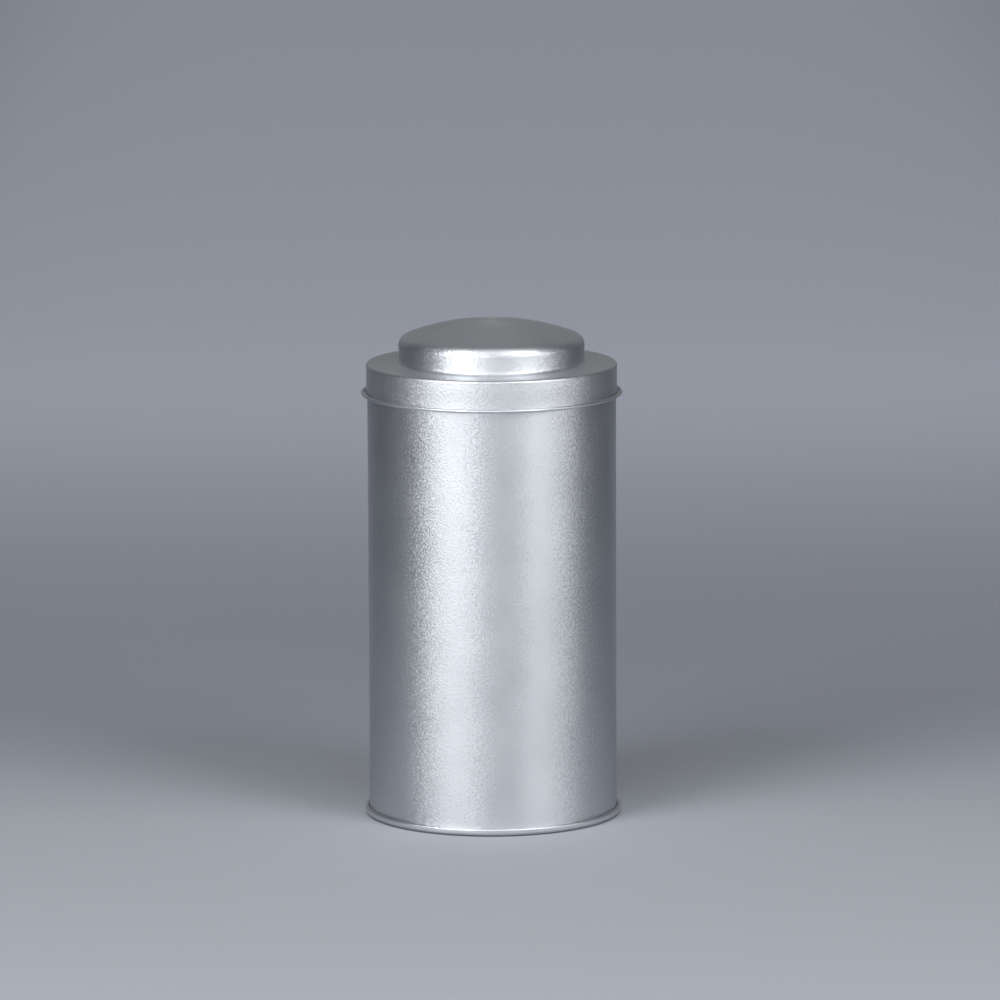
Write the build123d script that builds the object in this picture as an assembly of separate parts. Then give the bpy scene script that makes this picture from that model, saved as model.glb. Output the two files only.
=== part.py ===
from build123d import *
from math import acos, asin, cos, degrees, radians, sin, tan
import os

# A round slip-lid tin of bent tinplate sheet, in millimetres. Its axis is Z and it stands on
# z = 0. The body is a rolled wall with a lock seam down its back (+Y), and a base double-seamed
# to it. The lid is one drawn piece whose skirt slides over the wall.

# Driving dimensions
SHEET = 0.25  # tinplate thickness, the same in every piece
BODY_R = 38.0  # outside of the rolled wall
RIM_Z = 139.15  # top of the wall's in-curled rim
RIM_CURL_R = 0.80  # outside radius of that in-curl
RIM_CURL_TURN = 290  # degrees it turns through

LID_CLEARANCE = 0.05  # radial gap between the wall and the lid's skirt
LID_STOP_GAP = 0.05  # gap between the rim and the lid's shoulder at rest
LID_FLARE_R = 0.20  # hollow bend where the foot of the skirt turns out
LID_EDGE_R = 39.84  # outside of the open curl along that turned-out edge
LID_CURL_R = 0.48  # outside radius of the curl's roll
LID_CURL_Z = 130.41  # height of the roll's centre
LID_CURL_TURN = 240  # degrees it turns through
SHOULDER_CORNER_R = 0.80  # outside radius between shoulder and skirt
KNOB_R = 28.4  # outside of the raised knob's wall
KNOB_FOOT_R = 1.35  # hollow fillet between knob wall and shoulder
CROWN_R = 3.26  # rounded edge between knob wall and dome
DOME_R = 73.2  # radius of the domed top
APEX_Z = 152.82  # top of the dome

SEAM_TOP_Z = 2.30  # height of the double seam round the base
SEAM_GAP = 0.16  # space between the layers of that seam
SEAM_FOOT_R = 0.60  # outside radius each side of the seam's flat foot
BASE_HOOK_END_Z = 0.85
WALL_HOOK_END_Z = 1.90
CHUCK_GAP = 0.03  # gap between the wall and the base's upright wall inside it
PANEL_Z = 3.0  # underside of the base panel's outer ring
PANEL_CORNER_R = 0.60
PANEL_STEP = 0.60  # how far the middle of the panel is pressed up
PANEL_STEP_R = 31.0  # where that step starts
STEP_BEND_R = 0.65  # bend at the step's inner edge, on the underside
COMPOUND_GAP = 0.01  # clearance between the sealing compound and the sheet
COMPOUND_TOP_Z = 0.50

LOCK_GAP = 0.06  # space between the layers of the lock seam
LOCK_WIDTH = 3.0  # width over which its four layers lie on each other
LOCK_BEND_R = 0.50  # bend where the wall dives under the lock
LOCK_LOW_Z = 3.60  # below this and above the next the wall is a plain ring
LOCK_HIGH_Z = 135.5

# Sizes worked out from those
SKIRT_R = BODY_R + LID_CLEARANCE + SHEET
SHOULDER_Z = RIM_Z + LID_STOP_GAP + SHEET
CHUCK_R = BODY_R - SHEET - CHUCK_GAP - SHEET
WALL_HOOK_R = BODY_R + 2 * (SHEET + SEAM_GAP)
SEAM_R = WALL_HOOK_R + SHEET + SEAM_GAP
SEAM_TURN_R = 1.5 * SHEET + SEAM_GAP  # outside radius where each hook turns back
WALL_TURN_Z = SHEET + SEAM_GAP + SEAM_TURN_R
LOCK_PITCH = SHEET + LOCK_GAP


def polar(angle, radius):
    """The vector of a length at an angle in degrees from the first axis."""
    return Vector(radius * cos(radians(angle)), radius * sin(radians(angle)))


def arc(centre, radius, start, sweep):
    """An arc about a centre, from a start angle through a signed sweep in degrees."""
    spots = [centre + polar(start + sweep * part, radius) for part in (0, 0.5, 1)]
    return Edge.make_three_point_arc(*spots)


def bent_sheet(start, heading, moves, side):
    """Section of a sheet. One face starts at a point and follows the moves, and the other lies a
    sheet's thickness to its left (side 1) or its right (side -1). A move is a length to run, or a
    bend as (radius, angle), whose angle is in degrees and positive to the left."""
    followed = []
    opposite = []
    point = Vector(*start)
    for move in moves:
        if isinstance(move, tuple):
            radius, angle = move
            hand = 1 if angle > 0 else -1
            centre = point + polar(heading + 90 * hand, radius)
            outward = heading - 90 * hand
            followed.append(arc(centre, radius, outward, angle))
            opposite.append(arc(centre, radius - hand * side * SHEET, outward, angle))
            heading += angle
            point = centre + polar(outward + angle, radius)
        else:
            across = polar(heading + 90 * side, SHEET)
            end = point + polar(heading, move)
            followed.append(Edge.make_line(point, end))
            opposite.append(Edge.make_line(point + across, end + across))
            point = end
    first_end = Edge.make_line(followed[0] @ 0, opposite[0] @ 0)
    last_end = Edge.make_line(followed[-1] @ 1, opposite[-1] @ 1)
    return make_face(followed + opposite + [first_end, last_end])


def turned(section):
    """The solid that a section drawn as (radius, height) sweeps round the axis."""
    return revolve(Plane.XZ * section, Axis.Z)


def lock_seam_section():
    """Section across the rolled wall, from the hidden edge of one hook, anticlockwise round the
    tin, to the hidden edge of the other. The four layers of the lock lie inside BODY_R."""
    fold_r = LOCK_PITCH + SHEET / 2  # outside of the fold nearer the surface
    fold_at = BODY_R - fold_r
    dive_r = fold_r + LOCK_GAP  # the wall passes under that fold
    bend_at = BODY_R - LOCK_BEND_R
    reach = dive_r + LOCK_BEND_R
    width = degrees(LOCK_WIDTH / BODY_R)
    # Angles of the triangle between the axis and the centres of the two bends
    spread = degrees(acos((fold_at**2 + bend_at**2 - reach**2) / (2 * fold_at * bend_at)))
    dive = degrees(acos((fold_at**2 + reach**2 - bend_at**2) / (2 * fold_at * reach)))
    start = 90 + width / 2
    first_r = BODY_R - LOCK_PITCH - SHEET
    moves = [
        (first_r, -width),
        (SHEET / 2 + LOCK_GAP, -180),
        (BODY_R - 3 * LOCK_PITCH, width),
        (dive_r, -dive),
        (LOCK_BEND_R, dive + spread),
        (BODY_R, 360 - spread),
        (fold_r, 180),
        (BODY_R - 2 * LOCK_PITCH - SHEET, -width),
    ]
    return bent_sheet(polar(start, first_r), start - 90, moves, 1)


def body_wall():
    """Rolled wall: lock seam down the back, in-curled rim, and a hook turned out for the base."""
    curl_z = RIM_Z - RIM_CURL_R
    rim_moves = [curl_z - LOCK_HIGH_Z, (RIM_CURL_R, RIM_CURL_TURN)]
    rim = turned(bent_sheet((BODY_R, LOCK_HIGH_Z), 90, rim_moves, 1))
    hook_moves = [
        LOCK_LOW_Z - WALL_TURN_Z,
        (SEAM_TURN_R - SHEET, 180),
        WALL_HOOK_END_Z - WALL_TURN_Z,
    ]
    hook = turned(bent_sheet((BODY_R, LOCK_LOW_Z), -90, hook_moves, -1))
    middle = extrude(lock_seam_section(), LOCK_HIGH_Z - LOCK_LOW_Z)
    return Pos(0, 0, LOCK_LOW_Z) * middle + rim + hook


def base():
    """Pressed base: stepped panel, upright wall, flat foot, and a curl hooked over the wall's."""
    turn_z = SEAM_TOP_Z - SEAM_TURN_R
    step_bends = 2 * STEP_BEND_R + SHEET
    step_angle = degrees(acos(1 - PANEL_STEP / step_bends))
    step_width = step_bends * sin(radians(step_angle))
    moves = [
        PANEL_STEP_R,
        (STEP_BEND_R, -step_angle),
        (STEP_BEND_R + SHEET, step_angle),
        CHUCK_R - PANEL_CORNER_R - PANEL_STEP_R - step_width,
        (PANEL_CORNER_R, -90),
        PANEL_Z - PANEL_CORNER_R - SEAM_FOOT_R,
        (SEAM_FOOT_R, 90),
        SEAM_R - CHUCK_R - 2 * SEAM_FOOT_R,
        (SEAM_FOOT_R, 90),
        turn_z - SEAM_FOOT_R,
        (SEAM_TURN_R, 180),
        turn_z - BASE_HOOK_END_Z,
    ]
    return turned(bent_sheet((0, PANEL_Z + PANEL_STEP), 0, moves, 1))


def seam_compound():
    """Ring of sealing compound in the foot of the double seam, under the wall's hook. Its flats
    stay just clear of the curved sheet round it."""
    left = CHUCK_R + SEAM_FOOT_R
    right = SEAM_R - SEAM_FOOT_R
    corner = (SEAM_FOOT_R - SHEET - COMPOUND_GAP) * sin(radians(45))
    floor = SHEET + COMPOUND_GAP
    bevel_z = SEAM_FOOT_R - corner
    hook_r = BODY_R - SHEET + SEAM_TURN_R
    roof = SHEET + SEAM_GAP - COMPOUND_GAP
    half = (SEAM_TURN_R + COMPOUND_GAP) * tan(radians(22.5))
    spread = half + COMPOUND_TOP_Z - roof
    outline = Polyline(
        (left, floor),
        (right, floor),
        (right + corner, bevel_z),
        (right + corner, COMPOUND_TOP_Z),
        (hook_r + spread, COMPOUND_TOP_Z),
        (hook_r + half, roof),
        (hook_r - half, roof),
        (hook_r - spread, COMPOUND_TOP_Z),
        (left - corner, COMPOUND_TOP_Z),
        (left - corner, bevel_z),
        close=True,
    )
    return turned(make_face(outline))


def lid():
    """Drawn lid: domed knob, flat shoulder, skirt, and an edge turned out and curled up, left open."""
    centres = DOME_R - CROWN_R
    dome_angle = degrees(asin((KNOB_R - CROWN_R) / centres))
    crown_z = APEX_Z - DOME_R + centres * cos(radians(dome_angle))
    edge_z = LID_CURL_Z - LID_CURL_R + SHEET
    moves = [
        (DOME_R, -dome_angle),
        (CROWN_R, dome_angle - 90),
        crown_z - SHOULDER_Z - KNOB_FOOT_R,
        (KNOB_FOOT_R, 90),
        SKIRT_R - SHOULDER_CORNER_R - KNOB_R - KNOB_FOOT_R,
        (SHOULDER_CORNER_R, -90),
        SHOULDER_Z - SHOULDER_CORNER_R - edge_z - LID_FLARE_R,
        (LID_FLARE_R, 90),
        LID_EDGE_R - LID_CURL_R - SKIRT_R - LID_FLARE_R,
        (LID_CURL_R - SHEET, LID_CURL_TURN),
    ]
    return turned(bent_sheet((0, APEX_Z), 0, moves, -1))


os.makedirs("parts", exist_ok=True)
for make in (body_wall, base, seam_compound, lid):
    export_step(make(), f"parts/{make.__name__}.step")
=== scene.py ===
from math import acos, asin, cos, degrees, pi, radians, sin, sqrt, tau

import bpy
from mathutils import Matrix, Vector, noise


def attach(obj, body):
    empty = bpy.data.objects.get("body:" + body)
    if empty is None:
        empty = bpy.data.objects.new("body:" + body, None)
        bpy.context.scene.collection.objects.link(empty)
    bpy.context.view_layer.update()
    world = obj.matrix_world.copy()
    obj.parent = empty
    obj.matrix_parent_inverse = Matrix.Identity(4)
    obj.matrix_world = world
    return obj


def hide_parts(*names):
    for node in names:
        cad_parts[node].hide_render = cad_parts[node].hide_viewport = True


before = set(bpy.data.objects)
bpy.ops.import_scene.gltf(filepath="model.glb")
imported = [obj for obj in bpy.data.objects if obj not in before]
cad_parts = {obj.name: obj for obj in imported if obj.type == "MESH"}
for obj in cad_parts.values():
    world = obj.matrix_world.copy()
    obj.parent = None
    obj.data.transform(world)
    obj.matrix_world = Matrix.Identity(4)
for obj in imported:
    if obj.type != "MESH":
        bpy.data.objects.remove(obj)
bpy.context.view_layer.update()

MM = 0.001

# Sizes of the tin in millimetres, as in the CAD part
SHEET = 0.25
BODY_R = 38.0
RIM_Z = 139.15
RIM_CURL_R = 0.80
RIM_CURL_TURN = 290
LID_CLEARANCE = 0.05
LID_STOP_GAP = 0.05
LID_FLARE_R = 0.20
LID_EDGE_R = 39.84
LID_CURL_R = 0.48
LID_CURL_Z = 130.41
LID_CURL_TURN = 240
SHOULDER_CORNER_R = 0.80
KNOB_R = 28.4
KNOB_FOOT_R = 1.35
CROWN_R = 3.26
DOME_R = 73.2
APEX_Z = 152.82
SEAM_TOP_Z = 2.30
SEAM_GAP = 0.16
SEAM_FOOT_R = 0.60
BASE_HOOK_END_Z = 0.85
WALL_HOOK_END_Z = 1.90
CHUCK_GAP = 0.03
PANEL_Z = 3.0
PANEL_CORNER_R = 0.60
PANEL_STEP = 0.60
PANEL_STEP_R = 31.0
STEP_BEND_R = 0.65
LOCK_GAP = 0.06
LOCK_WIDTH = 3.0
LOCK_BEND_R = 0.50
LOCK_LOW_Z = 3.60
LOCK_HIGH_Z = 135.5

SKIRT_R = BODY_R + LID_CLEARANCE + SHEET
SHOULDER_Z = RIM_Z + LID_STOP_GAP + SHEET
CHUCK_R = BODY_R - SHEET - CHUCK_GAP - SHEET
WALL_HOOK_R = BODY_R + 2 * (SHEET + SEAM_GAP)
SEAM_R = WALL_HOOK_R + SHEET + SEAM_GAP
SEAM_TURN_R = 1.5 * SHEET + SEAM_GAP
WALL_TURN_Z = SHEET + SEAM_GAP + SEAM_TURN_R

# The lock seam on the wall's mesh, in millimetres
LOCK_FADE = 1.2  # height over which each of its ends dies away
LOCK_RAMP = 1.25  # width over which its layers rise from the wall
LOCK_REACH = 5.0  # nothing of it is further than this from its middle
GROOVE_DEPTH = 0.40  # the most that the outside dips beside its fold
WALL_OUTSIDE_R = BODY_R + 0.01  # the wall's rows are inside this, and its hook is outside

# Unevenness of the rolled wall, in millimetres
WAVE_DEPTH = 0.02  # average, always inward
WAVE_HEIGHT = 45  # of one swell along the tin, about
WAVE_TURNS = 1.6  # the larger, the more swells there are round the tin
WAVE_FROM_Z, WAVE_FULL_Z = 4, 20  # it starts above the base seam
WAVE_EASE_Z, WAVE_END_Z = 105, 126  # and ends below the lid

# Metal finish; the scales of noises are in repeats per metre
NOISE_LOW, NOISE_HIGH = 0.3, 0.7  # nearly all of a noise lies between these
GRAIN_SCALE = 1900.0
GRAIN_LEAN = 0.095  # the most that a grain leans the surface sideways, as a slope
METAL_DARK = (0.662, 0.683, 0.716, 1.0)
METAL_LIGHT = (0.702, 0.723, 0.756, 1.0)
CLOUD_SCALE = 55.0
CLOUD_ROUGHNESS = 0.02  # how much the roughness goes up and down with the clouds
SHEEN_TURN = 0.25  # direction of the anisotropic sheen, as part of a turn
POLISH_LOW_Z = SHOULDER_Z - 1.4  # the lid is smoother from here
POLISH_HIGH_Z = SHOULDER_Z - 0.2  # and fully so above this
KNOB_POLISH = 0.02  # how much roughness the knob has lost
KNOB_GRAIN_LOSS = 0.60  # and how much of its grain's height
DENT_SCALE = 260.0
STREAK_SCALE = (900.0, 900.0, 60.0)
STREAK_ROUGHNESS = 0.02
STREAK_HEIGHT = 0.35  # beside a dent's
FOOT_SHADE = 0.30  # how much of its tone is left at the lowest of the foot, under painted shade where the base seam meets the floor
FOOT_SHADE_LOW_Z = 0.15
FOOT_SHADE_HIGH_Z = 1.15  # the painted shade stops above this

# Rubber of the sealing compound
RUBBER_DARK = (0.018, 0.018, 0.017, 1.0)
RUBBER_LIGHT = (0.035, 0.034, 0.032, 1.0)
RUBBER_SCALE = 900.0
RUBBER_SMOOTH, RUBBER_ROUGH = 0.62, 0.80

# Floor that the tin stands on: its tones from front to back, darkened by painted shade, and where each
# turns into the next, in metres behind the tin's axis
FLOOR_NEAR_TONE = (0.395, 0.420, 0.462, 1.0)
FLOOR_MIDDLE_PAINTED_SHADE = (0.305, 0.325, 0.376, 1.0)
FLOOR_FAR_PAINTED_SHADE = (0.262, 0.280, 0.330, 1.0)
MIDDLE_SHADE_FROM, MIDDLE_SHADE_TO = -0.02, 0.18
FAR_SHADE_FROM, FAR_SHADE_TO = 0.20, 0.62
SIDE_SHADE_FROM, SIDE_SHADE_TO = 0.25, 0.80  # metres to the left and right, over which painted shade darkens it
SIDE_SHADE = 0.35  # how much of its tone the painted shade leaves there
FIBRE_SCALE = 700.0
FIBRE_TONE = 0.03  # how far its fibres shift the tone
PAPER_ROUGHNESS = 0.9
FLOOR_FRONT, FLOOR_BACK, FLOOR_HALF_WIDTH = -2.6, 3.2, 2.0

# Camera, in metres and degrees
SENSOR = 36.0  # millimetres, as the lens
LENS = 267.53
CAMERA_PLACE = (0.00241, -2.2413, 0.4789)
CAMERA_DOWN = 9.674
CAMERA_ROLL = 0.219
CAMERA_REACH = 20.0

# Light
LIGHT_AIM = (0, 0, 0.075)  # the middle of the tin
WORLD_COLOUR = (0.85, 0.90, 1.0, 1.0)
WORLD_STRENGTH = 0.07

# How finely the round shapes are divided
COLUMNS = 288
ARC_STEP = 9.0  # degrees
FEWEST_STEPS = 4  # in a bend
RUN_STEP = 3.5  # millimetres, about, along a straight run
SEAM_COLUMNS_FROM, SEAM_COLUMNS_TO = -3.4, 2.6  # millimetres across the lock seam
SEAM_COLUMN_STEP = 0.08
SEAM_MARGIN = 0.01  # radians beside the seam that are kept free of other columns
SHARP_ANGLE = 50  # degrees, above which an edge looks sharp
POLE_R = 1e-6  # a row with a smaller radius is a point on the axis


# ---- Camera ----------------------------------------------------------------------------------

def make_camera():
    """A long lens a little above the tin, looking slightly down."""
    data = bpy.data.cameras.new("camera")
    data.sensor_width = SENSOR
    data.lens = LENS
    data.clip_end = CAMERA_REACH
    camera = bpy.data.objects.new("camera", data)
    bpy.context.scene.collection.objects.link(camera)
    tilt = Matrix.Rotation(radians(90 - CAMERA_DOWN), 4, "X")
    roll = Matrix.Rotation(radians(-CAMERA_ROLL), 4, "Z")
    camera.matrix_world = Matrix.Translation(CAMERA_PLACE) @ (tilt @ roll)
    bpy.context.scene.camera = camera


make_camera()


# ---- Sections of bent sheet ------------------------------------------------------------------

def bent_sheet(start, heading, moves, side):
    """Both faces of a bent sheet as two lists of (radius, height), each in the order of the moves.
    The first face starts at a point and follows the moves; the other lies a sheet's thickness to
    its left (side 1) or right (side -1). A move is a length to run or a (radius, angle) bend,
    whose angle is in degrees and positive to the left."""
    point = Vector(start)
    spots = [(point.copy(), heading)]
    for move in moves:
        if isinstance(move, tuple):
            radius, angle = move
            hand = 1 if angle > 0 else -1
            centre = point + towards(heading + 90 * hand, radius)
            outward = heading - 90 * hand
            length = radius * radians(abs(angle))
            steps = max(FEWEST_STEPS, round(abs(angle) / ARC_STEP), round(length / RUN_STEP))
            for i in range(1, steps + 1):
                turned = angle * i / steps
                spots.append((centre + towards(outward + turned, radius), heading + turned))
            heading += angle
        else:
            steps = max(1, round(move / RUN_STEP))
            for i in range(1, steps + 1):
                spots.append((point + towards(heading, move * i / steps), heading))
        point = spots[-1][0].copy()
    near = [tuple(p) for p, _ in spots]
    far = [tuple(p + towards(h + 90 * side, SHEET)) for p, h in spots]
    return near, far


def towards(angle, length):
    """The step of a length along a heading in degrees."""
    return Vector((length * cos(radians(angle)), length * sin(radians(angle))))


def smooth(low, high, value):
    """0 up to low, 1 from high, and a smooth rise between them."""
    t = min(max((value - low) / (high - low), 0.0), 1.0)
    return t * t * (3 - 2 * t)


# ---- Turned meshes ---------------------------------------------------------------------------

def lathe(name, rows, angles, warp=None):
    """A closed mesh swept round Z. rows are (radius, height, face) and run round the section;
    a row of no radius is a pole. warp moves a point given as (angle, radius, height, face)."""
    verts, loops = [], []
    for radius, height, face in rows:
        if radius < POLE_R:
            loops.append([len(verts)] * len(angles))
            verts.append((0, 0, height * MM))
            continue
        first = len(verts)
        for angle in angles:
            r, z = warp(angle, radius, height, face) if warp else (radius, height)
            verts.append((r * MM * cos(angle), r * MM * sin(angle), z * MM))
        loops.append(list(range(first, first + len(angles))))
    faces = []
    pairs = list(zip(loops, loops[1:]))
    if rows[0][0] > POLE_R:
        pairs.append((loops[-1], loops[0]))
    for below, above in pairs:
        for i in range(len(angles)):
            j = (i + 1) % len(angles)
            quad = [below[i], below[j], above[j], above[i]]
            face = [v for k, v in enumerate(quad) if v != quad[k - 1]]
            faces.append(face)
    mesh = bpy.data.meshes.new(name)
    mesh.from_pydata(verts, [], faces)
    mesh.validate()
    mesh.shade_smooth()
    mesh.set_sharp_from_angle(angle=radians(SHARP_ANGLE))
    piece = bpy.data.objects.new(name, mesh)
    bpy.context.scene.collection.objects.link(piece)
    return piece


def section_rows(near, far):
    """The two faces of a sheet as one outline: along the first face and back along the other."""
    return [(r, z, 0) for r, z in near] + [(r, z, 1) for r, z in reversed(far)]


def even_angles():
    return [tau * i / COLUMNS for i in range(COLUMNS)]


# ---- Lid -------------------------------------------------------------------------------------

def lid_section():
    centres = DOME_R - CROWN_R
    dome_angle = degrees(asin((KNOB_R - CROWN_R) / centres))
    crown_z = APEX_Z - DOME_R + centres * cos(radians(dome_angle))
    edge_z = LID_CURL_Z - LID_CURL_R + SHEET
    moves = [
        (DOME_R, -dome_angle),
        (CROWN_R, dome_angle - 90),
        crown_z - SHOULDER_Z - KNOB_FOOT_R,
        (KNOB_FOOT_R, 90),
        SKIRT_R - SHOULDER_CORNER_R - KNOB_R - KNOB_FOOT_R,
        (SHOULDER_CORNER_R, -90),
        SHOULDER_Z - SHOULDER_CORNER_R - edge_z - LID_FLARE_R,
        (LID_FLARE_R, 90),
        LID_EDGE_R - LID_CURL_R - SKIRT_R - LID_FLARE_R,
        (LID_CURL_R - SHEET, LID_CURL_TURN),
    ]
    return bent_sheet((0, APEX_Z), 0, moves, -1)


def make_lid():
    piece = lathe("lid_shell", section_rows(*lid_section()), even_angles())
    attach(piece, "lid_body")
    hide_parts("lid")
    return piece


# ---- Body wall -------------------------------------------------------------------------------

def wall_section():
    curl_z = RIM_Z - RIM_CURL_R
    moves = [
        WALL_HOOK_END_Z - WALL_TURN_Z,
        (SEAM_TURN_R - SHEET, -180),
        curl_z - WALL_TURN_Z,
        (RIM_CURL_R, RIM_CURL_TURN),
    ]
    return bent_sheet((WALL_HOOK_R - SHEET, WALL_HOOK_END_Z), -90, moves, 1)


def seam_angles():
    """Columns round the wall, crowded where the lock seam runs down the back."""
    count = round((SEAM_COLUMNS_TO - SEAM_COLUMNS_FROM) / SEAM_COLUMN_STEP) + 1
    across = [SEAM_COLUMNS_FROM + SEAM_COLUMN_STEP * i for i in range(count)]
    seam = [pi / 2 - x / BODY_R for x in across]
    edge = max(abs(SEAM_COLUMNS_FROM), abs(SEAM_COLUMNS_TO)) / BODY_R + SEAM_MARGIN
    rest = [a for a in even_angles() if abs(a - pi / 2) > edge]
    return sorted(rest + seam)


def groove_depth(x):
    """How deep the outside dips beside the fold of the lock seam, x millimetres across it."""
    fold_r = SHEET * 1.5 + LOCK_GAP
    fold_x = -LOCK_WIDTH / 2
    reach = fold_r + LOCK_GAP + LOCK_BEND_R
    bend_x = fold_x - sqrt(reach**2 - (LOCK_BEND_R - fold_r) ** 2)
    if not bend_x < x < fold_x:
        return 0.0
    from_fold = fold_x - x
    from_bend = x - bend_x
    if from_fold >= fold_r or from_bend >= LOCK_BEND_R:
        return GROOVE_DEPTH
    fold_dip = fold_r - sqrt(fold_r**2 - from_fold**2)
    bend_dip = LOCK_BEND_R - sqrt(LOCK_BEND_R**2 - from_bend**2)
    return min(fold_dip, bend_dip, GROOVE_DEPTH)


def lock_height(x):
    """How far the four folded layers stand inside the wall, x millimetres across the seam."""
    thick = 3 * (SHEET + LOCK_GAP)
    half = LOCK_WIDTH / 2
    fold_r = SHEET * 1.5 + LOCK_GAP
    over = (x - half) / fold_r
    if over >= 1:
        return 0.0
    if over > 0:
        return thick - fold_r + fold_r * sqrt(1 - over**2)
    return thick * smooth(-half - LOCK_RAMP, -half, x)


def wall_warp(angle, radius, height, face):
    """Adds the lock seam, and the slight unevenness of a rolled sheet below the lid."""
    x = (pi / 2 - angle) * BODY_R
    starts = smooth(LOCK_LOW_Z, LOCK_LOW_Z + LOCK_FADE, height)
    stops = smooth(LOCK_HIGH_Z - LOCK_FADE, LOCK_HIGH_Z, height)
    if radius < WALL_OUTSIDE_R and abs(x) < LOCK_REACH:
        radius -= starts * (1 - stops) * (groove_depth(x) if face == 0 else lock_height(x))
    free = smooth(WAVE_FROM_Z, WAVE_FULL_Z, height) * (1 - smooth(WAVE_EASE_Z, WAVE_END_Z, height))
    spot = Vector((cos(angle) * WAVE_TURNS, sin(angle) * WAVE_TURNS, height / WAVE_HEIGHT))
    radius -= free * WAVE_DEPTH * (1 + noise.noise(spot))
    return radius, height


def make_wall():
    piece = lathe("rolled_wall", section_rows(*wall_section()), seam_angles(), wall_warp)
    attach(piece, "tin_body")
    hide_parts("body_wall")
    return piece


# ---- Base ------------------------------------------------------------------------------------

def base_section():
    turn_z = SEAM_TOP_Z - SEAM_TURN_R
    step_bends = 2 * STEP_BEND_R + SHEET
    step_angle = degrees(acos(1 - PANEL_STEP / step_bends))
    step_width = step_bends * sin(radians(step_angle))
    moves = [
        PANEL_STEP_R,
        (STEP_BEND_R, -step_angle),
        (STEP_BEND_R + SHEET, step_angle),
        CHUCK_R - PANEL_CORNER_R - PANEL_STEP_R - step_width,
        (PANEL_CORNER_R, -90),
        PANEL_Z - PANEL_CORNER_R - SEAM_FOOT_R,
        (SEAM_FOOT_R, 90),
        SEAM_R - CHUCK_R - 2 * SEAM_FOOT_R,
        (SEAM_FOOT_R, 90),
        turn_z - SEAM_FOOT_R,
        (SEAM_TURN_R, 180),
        turn_z - BASE_HOOK_END_Z,
    ]
    return bent_sheet((0, PANEL_Z + PANEL_STEP), 0, moves, 1)


def make_base():
    piece = lathe("pressed_base", section_rows(*base_section()), even_angles())
    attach(piece, "tin_body")
    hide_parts("base")
    return piece


# ---- Materials -------------------------------------------------------------------------------

def new_material(name):
    material = bpy.data.materials.new(name)
    material.use_nodes = True
    tree = material.node_tree
    return material, tree, tree.nodes["Principled BSDF"]


def noise_node(tree, coords, scale, detail=2.0, roughness=0.5):
    node = tree.nodes.new("ShaderNodeTexNoise")
    node.inputs["Scale"].default_value = scale
    node.inputs["Detail"].default_value = detail
    node.inputs["Roughness"].default_value = roughness
    tree.links.new(coords, node.inputs["Vector"])
    return node.outputs["Fac"]


def map_range(tree, value, low, high, to_low, to_high):
    """A value between low and high brought between two others, and held there."""
    node = tree.nodes.new("ShaderNodeMapRange")
    tree.links.new(value, node.inputs["Value"])
    for key, number in (("From Min", low), ("From Max", high), ("To Min", to_low), ("To Max", to_high)):
        node.inputs[key].default_value = number
    return node.outputs["Result"]


def noise_range(tree, value, to_low, to_high):
    """A noise brought between two values."""
    return map_range(tree, value, NOISE_LOW, NOISE_HIGH, to_low, to_high)


def feed(tree, slot, value):
    """Links a node's output to a slot, or sets a plain number or vector on it."""
    if isinstance(value, bpy.types.NodeSocket):
        tree.links.new(value, slot)
    else:
        slot.default_value = value


def math_node(tree, operation, *values):
    node = tree.nodes.new("ShaderNodeMath")
    node.operation = operation
    for slot, value in zip(node.inputs, values):
        feed(tree, slot, value)
    return node.outputs["Value"]


def vector_node(tree, operation, *values):
    node = tree.nodes.new("ShaderNodeVectorMath")
    node.operation = operation
    slots = [slot for slot in node.inputs if slot.enabled]
    for slot, value in zip(slots, values):
        feed(tree, slot, value)
    return node.outputs["Vector"]


def stretched(tree, coords, scale):
    """Coordinates scaled differently along each axis."""
    node = tree.nodes.new("ShaderNodeMapping")
    node.inputs["Scale"].default_value = scale
    tree.links.new(coords, node.inputs["Vector"])
    return node.outputs["Vector"]


def bump_node(tree, height, distance):
    """The normal of a surface raised by a distance in metres for each unit of height."""
    node = tree.nodes.new("ShaderNodeBump")
    node.inputs["Strength"].default_value = 1.0
    node.inputs["Distance"].default_value = distance
    tree.links.new(height, node.inputs["Height"])
    return node.outputs["Normal"]


def leaned(tree, coords, normal, slope):
    """The normal leaned round the tin, one way or the other, by each grain of the metal."""
    grain = noise_node(tree, coords, GRAIN_SCALE, 2.0, 0.6)
    lean = noise_range(tree, grain, -slope, slope)
    round_axis = vector_node(tree, "CROSS_PRODUCT", (0.0, 0.0, 1.0), coords)
    sideways = vector_node(tree, "NORMALIZE", round_axis)
    moved = vector_node(tree, "ADD", normal, vector_node(tree, "SCALE", sideways, lean))
    return vector_node(tree, "NORMALIZE", moved)


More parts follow.
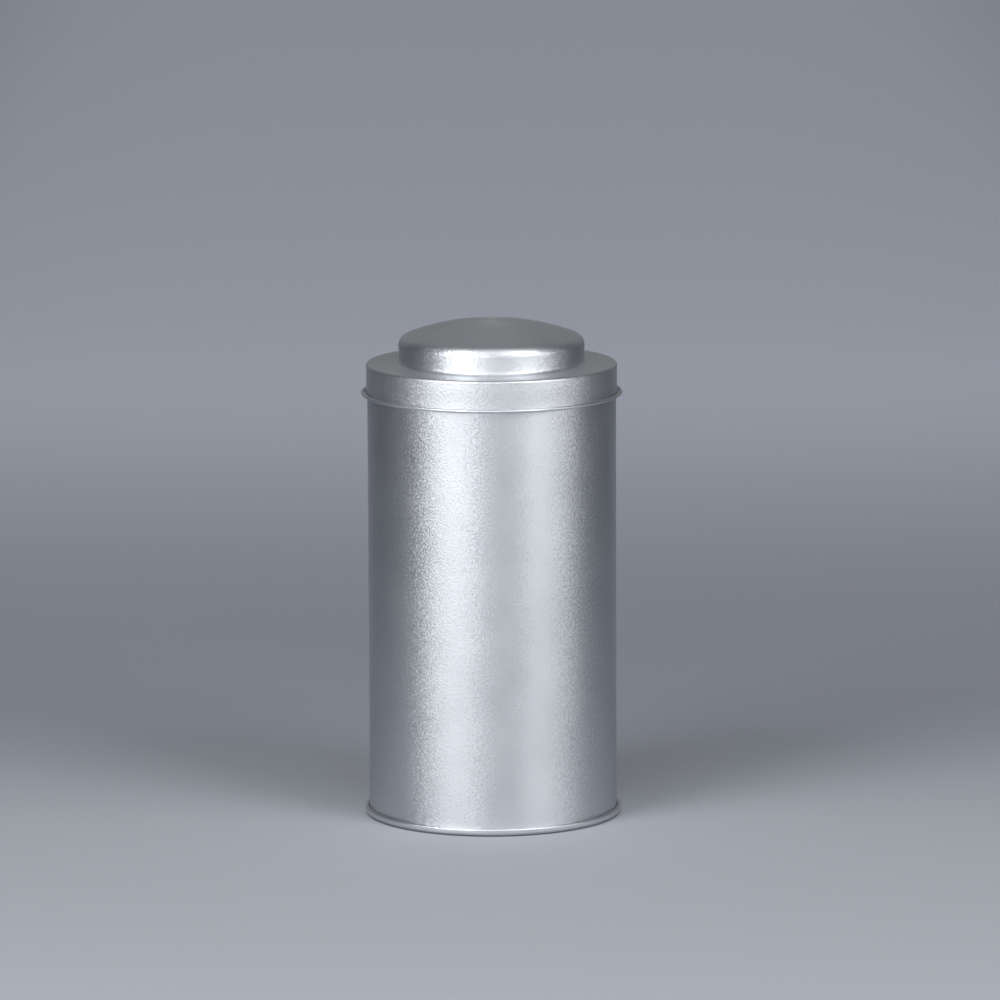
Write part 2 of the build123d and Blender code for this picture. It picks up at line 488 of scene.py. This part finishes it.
def tinplate(name, grain_mm, roughness, anisotropy=0.0, drawn=False, shaded_foot=False):
    """Tinned steel sheet: a fine worm-like grain, cloudy roughness, on drawn metal the knob's
    polish, dents and faint streaks along the draw, and with shaded_foot painted shade that darkens the
    foot."""
    material, tree, shader = new_material(name)
    links = tree.links
    coords = tree.nodes.new("ShaderNodeTexCoord").outputs["Object"]
    height = noise_node(tree, coords, GRAIN_SCALE, 1.0, 0.5)
    cloud = noise_node(tree, coords, CLOUD_SCALE, 3.0)
    rough = noise_range(tree, cloud, roughness - CLOUD_ROUGHNESS, roughness + CLOUD_ROUGHNESS)
    tint = tree.nodes.new("ShaderNodeValToRGB")
    dark, light = tint.color_ramp.elements
    dark.position = NOISE_LOW
    dark.color = METAL_DARK
    light.position = NOISE_HIGH
    light.color = METAL_LIGHT
    links.new(cloud, tint.inputs["Fac"])
    colour = tint.outputs["Color"]
    split = tree.nodes.new("ShaderNodeSeparateXYZ")
    links.new(coords, split.inputs["Vector"])
    # painted shade: the colour darkens toward the foot of the base seam, where it meets the floor
    if shaded_foot:
        low, high = FOOT_SHADE_LOW_Z * MM, FOOT_SHADE_HIGH_Z * MM
        shade = map_range(tree, split.outputs["Z"], low, high, FOOT_SHADE, 1.0)
        colour = vector_node(tree, "SCALE", colour, shade)
    links.new(colour, shader.inputs["Base Color"])
    shader.inputs["Metallic"].default_value = 1.0
    shader.inputs["Anisotropic"].default_value = anisotropy
    shader.inputs["Anisotropic Rotation"].default_value = SHEEN_TURN
    if drawn:
        low, high = POLISH_LOW_Z * MM, POLISH_HIGH_Z * MM
        polish = map_range(tree, split.outputs["Z"], low, high, 0.0, 1.0)
        lost = math_node(tree, "MULTIPLY", polish, KNOB_GRAIN_LOSS)
        height = math_node(tree, "MULTIPLY", height, math_node(tree, "SUBTRACT", 1.0, lost))
        streak = noise_node(tree, stretched(tree, coords, STREAK_SCALE), 1.0, 2.0)
        dent = noise_node(tree, coords, DENT_SCALE, 1.0)
        rough = math_node(tree, "SUBTRACT", rough, math_node(tree, "MULTIPLY", polish, KNOB_POLISH))
        uneven = noise_range(tree, streak, -STREAK_ROUGHNESS, STREAK_ROUGHNESS)
        rough = math_node(tree, "ADD", rough, uneven)
        relief = math_node(tree, "ADD", math_node(tree, "MULTIPLY", streak, STREAK_HEIGHT), dent)
        height = math_node(tree, "ADD", height, math_node(tree, "MULTIPLY", relief, polish))
    links.new(rough, shader.inputs["Roughness"])
    normal = bump_node(tree, height, grain_mm * MM)
    links.new(leaned(tree, coords, normal, GRAIN_LEAN), shader.inputs["Normal"])
    return material


def seam_rubber():
    """Matt dark rubber, a little mottled."""
    material, tree, shader = new_material("seam_rubber")
    coords = tree.nodes.new("ShaderNodeTexCoord").outputs["Object"]
    mottle = noise_node(tree, coords, RUBBER_SCALE, 3.0)
    ramp = tree.nodes.new("ShaderNodeValToRGB")
    ramp.color_ramp.elements[0].color = RUBBER_DARK
    ramp.color_ramp.elements[1].color = RUBBER_LIGHT
    tree.links.new(mottle, ramp.inputs["Fac"])
    tree.links.new(ramp.outputs["Color"], shader.inputs["Base Color"])
    rough = noise_range(tree, mottle, RUBBER_SMOOTH, RUBBER_ROUGH)
    tree.links.new(rough, shader.inputs["Roughness"])
    return material


def floor_paper_painted_shade():
    """Paper whose tone is darkened by painted shade toward the back, in two stages, and far out to the
    sides.
    """
    material, tree, shader = new_material("floor_paper_painted_shade")
    coords = tree.nodes.new("ShaderNodeTexCoord").outputs["Object"]
    split = tree.nodes.new("ShaderNodeSeparateXYZ")
    tree.links.new(coords, split.inputs["Vector"])
    # painted shade: the tone steps darker toward the back, and darkens far out to the sides
    middle = map_range(tree, split.outputs["Y"], MIDDLE_SHADE_FROM, MIDDLE_SHADE_TO, 0.0, 0.5)
    far = map_range(tree, split.outputs["Y"], FAR_SHADE_FROM, FAR_SHADE_TO, 0.0, 0.5)
    aside = math_node(tree, "ABSOLUTE", split.outputs["X"])
    side = map_range(tree, aside, SIDE_SHADE_FROM, SIDE_SHADE_TO, 1.0, SIDE_SHADE)
    fibre = noise_node(tree, coords, FIBRE_SCALE, 3.0)
    fibre = noise_range(tree, fibre, -FIBRE_TONE, FIBRE_TONE)
    ramp = tree.nodes.new("ShaderNodeValToRGB")
    stops = ramp.color_ramp.elements
    stops[0].color = FLOOR_NEAR_TONE
    stops[1].color = FLOOR_FAR_PAINTED_SHADE
    stops.new(0.5).color = FLOOR_MIDDLE_PAINTED_SHADE
    place = math_node(tree, "ADD", middle, far)
    tree.links.new(math_node(tree, "ADD", place, fibre), ramp.inputs["Fac"])
    colour = vector_node(tree, "SCALE", ramp.outputs["Color"], side)
    tree.links.new(colour, shader.inputs["Base Color"])
    shader.inputs["Roughness"].default_value = PAPER_ROUGHNESS
    return material


# ---- Stage and light -------------------------------------------------------------------------

def make_stage():
    """A wide flat floor that reaches back far enough to fill the picture."""
    left, right = -FLOOR_HALF_WIDTH, FLOOR_HALF_WIDTH
    front, back = FLOOR_FRONT, FLOOR_BACK
    corners = [(left, front, 0), (right, front, 0), (right, back, 0), (left, back, 0)]
    mesh = bpy.data.meshes.new("floor")
    mesh.from_pydata(corners, [], [(0, 1, 2, 3)])
    floor = bpy.data.objects.new("floor", mesh)
    bpy.context.scene.collection.objects.link(floor)
    mesh.materials.append(floor_paper_painted_shade())


def area_light(name, azimuth, elevation, distance, size, power, aim=LIGHT_AIM, spread=180):
    """A soft box aimed at a point, in degrees, metres and watts. Azimuth is 0 at the front and
    grows to the right; spread is the angle that its light fans out over."""
    data = bpy.data.lights.new(name, "AREA")
    data.shape = "RECTANGLE"
    data.size, data.size_y = size
    data.energy = power
    data.spread = radians(spread)
    light = bpy.data.objects.new(name, data)
    bpy.context.scene.collection.objects.link(light)
    a, e = radians(azimuth), radians(elevation)
    away = Vector((sin(a) * cos(e), -cos(a) * cos(e), sin(e)))
    light.location = Vector(aim) + away * distance
    light.rotation_euler = away.to_track_quat("Z", "Y").to_euler()


def make_lights():
    area_light("bank_left", azimuth=-39, elevation=11, distance=1.3, size=(1.2, 0.3), power=5.6)
    area_light("bank_right", azimuth=54, elevation=11, distance=1.3, size=(1.2, 0.3), power=3.7)
    area_light("front", azimuth=2, elevation=15, distance=1.7, size=(1.2, 0.6), power=3.6)
    area_light("over_front", azimuth=0, elevation=56, distance=1.05, size=(1.0, 0.6), power=1.8)
    area_light("top", azimuth=0, elevation=84, distance=1.0, size=(0.8, 0.5), power=0.4)
    area_light("key_left", azimuth=-41, elevation=38, distance=1.15, size=(0.45, 0.7), power=5.2)
    area_light("key_right", azimuth=43, elevation=38, distance=1.15, size=(0.45, 0.7), power=4.5)
    area_light("rear_glow", azimuth=180, elevation=0, distance=1.0, size=(2.0, 1.36), power=1.35,
               aim=(0, 0, 0.85))
    area_light("far_floor", azimuth=0, elevation=90, distance=1.1, size=(1.2, 2.8), power=8.4,
               aim=(0, 1.95, 0), spread=50)
    world = bpy.data.worlds.new("studio")
    world.use_nodes = True
    background = world.node_tree.nodes["Background"]
    background.inputs["Color"].default_value = WORLD_COLOUR
    background.inputs["Strength"].default_value = WORLD_STRENGTH
    bpy.context.scene.world = world


# ---- Assembly --------------------------------------------------------------------------------

def dress(piece, material):
    piece.data.materials.clear()
    piece.data.materials.append(material)


def main():
    dress(make_lid(), tinplate("drawn_tinplate", grain_mm=0.06, roughness=0.45, anisotropy=0.3, drawn=True))
    dress(make_wall(), tinplate("rolled_tinplate", grain_mm=0.05, roughness=0.43, anisotropy=0.6))
    # the base's foot is darkened by painted shade
    dress(make_base(), tinplate("pressed_tinplate", grain_mm=0.05, roughness=0.40, shaded_foot=True))
    rubber = seam_rubber()
    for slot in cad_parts["seam_compound"].material_slots:
        slot.material = rubber
    make_stage()
    make_lights()
    bpy.context.scene.view_settings.view_transform = "Standard"


main()
